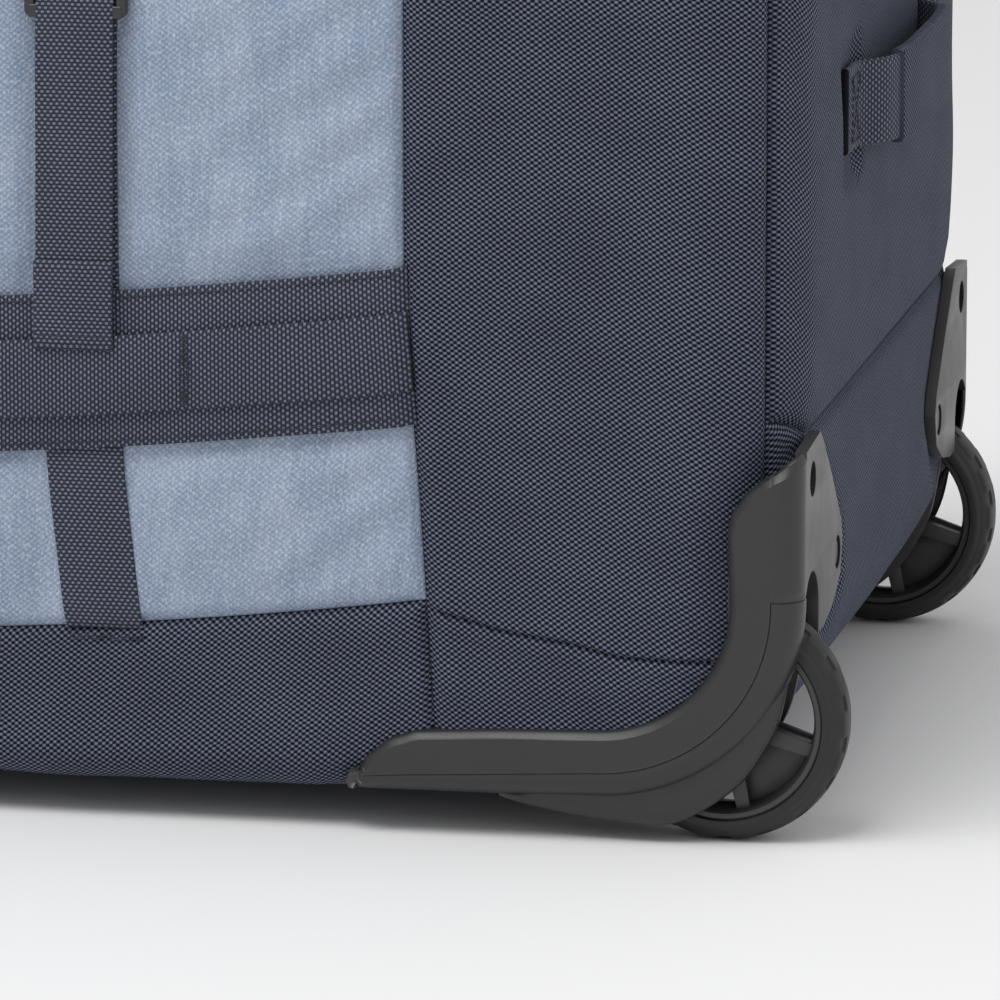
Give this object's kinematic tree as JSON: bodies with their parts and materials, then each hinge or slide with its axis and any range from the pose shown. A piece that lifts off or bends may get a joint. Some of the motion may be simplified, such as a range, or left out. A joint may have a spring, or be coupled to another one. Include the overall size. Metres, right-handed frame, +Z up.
{
  "type": "rolling duffel bag",
  "caption": "Soft-sided wheeled duffel bag with moulded corner guards, side webbing, zipped lid and telescoping pull handle",
  "frame": {"origin": "on the ground, midway between the wheel end and the handle end and midway between the two sides", "axes": "+X along the bag towards the wheels, +Y to the bag's left side, +Z up"},
  "size_m": [0.76, 0.3692, 0.3395],
  "materials": {
    "heather_fabric": "matte heather polyester, light blue with pale flecks",
    "navy_fabric": "matte coarse basket weave, dark navy",
    "navy_webbing": "ribbed flat webbing, dark navy",
    "lining_fabric": "smooth lining cloth, grey",
    "black_plastic": "fine-grained injection moulding, black",
    "rim_plastic": "satin moulded plastic, black",
    "tyre_rubber": "moulded rubber with shallow tread blocks, black",
    "board_plastic": "sheet plastic, dark grey",
    "tube_metal": "anodised extrusion, dark grey",
    "steel": "plain turned steel",
    "zip_plastic": "moulded zip parts, black",
    "button_plastic": "satin plastic button, mid grey"
  },
  "bodies": {
    "bag": {"base_tub": "navy_fabric", "side_panel_left": "heather_fabric", "side_panel_right": "heather_fabric", "wheel_end_wrap_left": "navy_fabric", "wheel_end_wrap_right": "navy_fabric", "handle_end_wrap_left": "navy_fabric", "handle_end_wrap_right": "navy_fabric", "wheel_end_panel_upper": "navy_fabric", "wheel_end_panel_lower": "navy_fabric", "handle_end_panel": "navy_fabric", "top_frame": "navy_fabric", "base_board": "board_plastic", "floor_panel": "lining_fabric", "zip_chain": "zip_plastic", "daisy_webbing_left": "navy_webbing", "daisy_loops_left": "navy_webbing", "daisy_webbing_right": "navy_webbing", "daisy_loops_right": "navy_webbing", "compression_strap_left_front": "navy_webbing", "ladder_lock_left_front": "black_plastic", "buckle_loop_left_front": "navy_webbing", "compression_strap_left_rear": "navy_webbing", "ladder_lock_left_rear": "black_plastic", "buckle_loop_left_rear": "navy_webbing", "compression_strap_right_front": "navy_webbing", "ladder_lock_right_front": "black_plastic", "buckle_loop_right_front": "navy_webbing", "compression_strap_right_rear": "navy_webbing", "ladder_lock_right_rear": "black_plastic", "buckle_loop_right_rear": "navy_webbing", "wheel_end_grab_handle": "navy_webbing", "handle_end_grab_handle": "navy_webbing", "wheel_housing_left": "black_plastic", "corner_guard_left": "black_plastic", "axle_left": "steel", "outer_tube_left": "tube_metal", "foot_left": "tyre_rubber", "wheel_housing_right": "black_plastic", "corner_guard_right": "black_plastic", "axle_right": "steel", "outer_tube_right": "tube_metal", "foot_right": "tyre_rubber", "handle_bezel": "black_plastic"},
    "wheel_left": {"rim_left": "rim_plastic", "tyre_left": "tyre_rubber", "bearing_left": "steel"},
    "wheel_right": {"rim_right": "rim_plastic", "tyre_right": "tyre_rubber", "bearing_right": "steel"},
    "pull_handle": {"grip": "black_plastic", "inner_tube_left": "tube_metal", "inner_tube_right": "tube_metal"},
    "button": {"grip_button": "button_plastic"},
    "lid": {"lid": "heather_fabric"},
    "slider_left": {"zip_slider_left": "zip_plastic"},
    "slider_right": {"zip_slider_right": "zip_plastic"},
    "pull_left": {"zip_pull_left": "navy_webbing"},
    "pull_right": {"zip_pull_right": "navy_webbing"},
    "side_handle_left": {"side_handle_left": "navy_webbing"},
    "side_handle_right": {"side_handle_right": "navy_webbing"}
  },
  "joints": [
    {"name": "wheel_left_spin", "type": "hinge", "parent": "bag", "child": "wheel_left", "pos_m": [0.341, 0.159, 0.039], "axis": [0, 1, 0], "continuous": true},
    {"name": "wheel_right_spin", "type": "hinge", "parent": "bag", "child": "wheel_right", "pos_m": [0.341, -0.159, 0.039], "axis": [0, 1, 0], "continuous": true},
    {"name": "handle_slide", "type": "slide", "parent": "bag", "child": "pull_handle", "axis": [-1, 0, 0], "range_m": [0, 0.38]},
    {"name": "button_press", "type": "slide", "parent": "pull_handle", "child": "button", "axis": [1, 0, 0], "range_m": [0, 0.003], "stiffness_N_per_m": 400, "springref_m": -0.003},
    {"name": "lid_hinge", "type": "hinge", "parent": "bag", "child": "lid", "pos_m": [0.3, 0, 0.335], "axis": [0, 1, 0], "range_deg": [0, 120]},
    {"name": "slider_left_slide", "type": "slide", "parent": "bag", "child": "slider_left", "axis": [0, 1, 0], "range_m": [0, 0.075]},
    {"name": "slider_right_slide", "type": "slide", "parent": "bag", "child": "slider_right", "axis": [0, -1, 0], "range_m": [0, 0.075]},
    {"name": "pull_left_swing", "type": "hinge", "parent": "slider_left", "child": "pull_left", "pos_m": [-0.3238, 0.0055, 0.3374], "axis": [0, 1, 0], "range_deg": [0, 90]},
    {"name": "pull_right_swing", "type": "hinge", "parent": "slider_right", "child": "pull_right", "pos_m": [-0.3238, -0.0055, 0.3374], "axis": [0, 1, 0], "range_deg": [0, 90]},
    {"name": "side_handle_left_swing", "type": "hinge", "parent": "bag", "child": "side_handle_left", "pos_m": [0, 0.1805, 0.268], "axis": [1, 0, 0], "range_deg": [0, 150]},
    {"name": "side_handle_right_swing", "type": "hinge", "parent": "bag", "child": "side_handle_right", "pos_m": [0, -0.1805, 0.268], "axis": [-1, 0, 0], "range_deg": [0, 150]}
  ]
}
